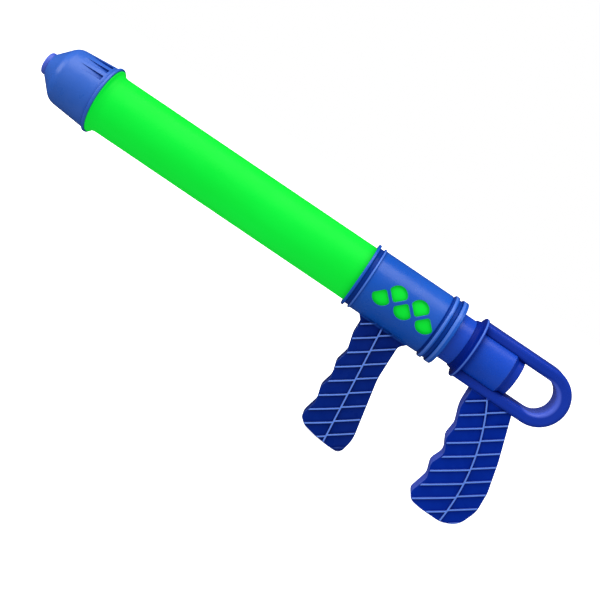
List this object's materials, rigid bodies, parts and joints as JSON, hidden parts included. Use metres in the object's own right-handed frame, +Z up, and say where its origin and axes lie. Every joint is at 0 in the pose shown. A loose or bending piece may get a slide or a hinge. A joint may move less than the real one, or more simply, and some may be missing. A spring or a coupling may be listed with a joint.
{
  "type": "pump water squirter",
  "caption": "Hand pump water squirter: long green barrel, blue nose cone, front pistol grip on a windowed collar, and a sliding plunger with a pull loop and rear pistol grip.",
  "frame": {"origin": "centre of the nozzle's mouth, on the barrel axis", "axes": "+X along the barrel from the nozzle to the pull loop, which is the way the plunger pulls out; +Z up, away from the grips; +Y to the holder's right as they aim along -X"},
  "size_m": [0.5144, 0.0606, 0.1645],
  "materials": {
    "green_plastic": "gloss",
    "blue_plastic": "semi-gloss",
    "dark_blue_plastic": "semi-gloss",
    "violet_plastic": "semi-gloss",
    "seal_rubber": "matte"
  },
  "bodies": {
    "barrel_body": {"barrel": "green_plastic", "nose_cap": "blue_plastic", "nose_gasket": "seal_rubber", "nozzle_tip": "violet_plastic", "front_handle": "blue_plastic", "guide_bush": "violet_plastic", "gland_ring": "blue_plastic"},
    "seals": {"piston_seal_front": "seal_rubber", "piston_seal_rear": "seal_rubber"},
    "plunger": {"piston_head": "violet_plastic", "plunger_tube": "blue_plastic", "rear_handle": "dark_blue_plastic", "tail_cap": "dark_blue_plastic"}
  },
  "joints": [
    {"name": "plunger_slide", "type": "slide", "parent": "barrel_body", "child": "seals", "axis": [1, 0, 0], "range_m": [0, 0.315]},
    {"name": "plunger_twist", "type": "hinge", "parent": "seals", "child": "plunger", "pos_m": [0.04, 0, 0], "axis": [1, 0, 0], "continuous": true}
  ]
}
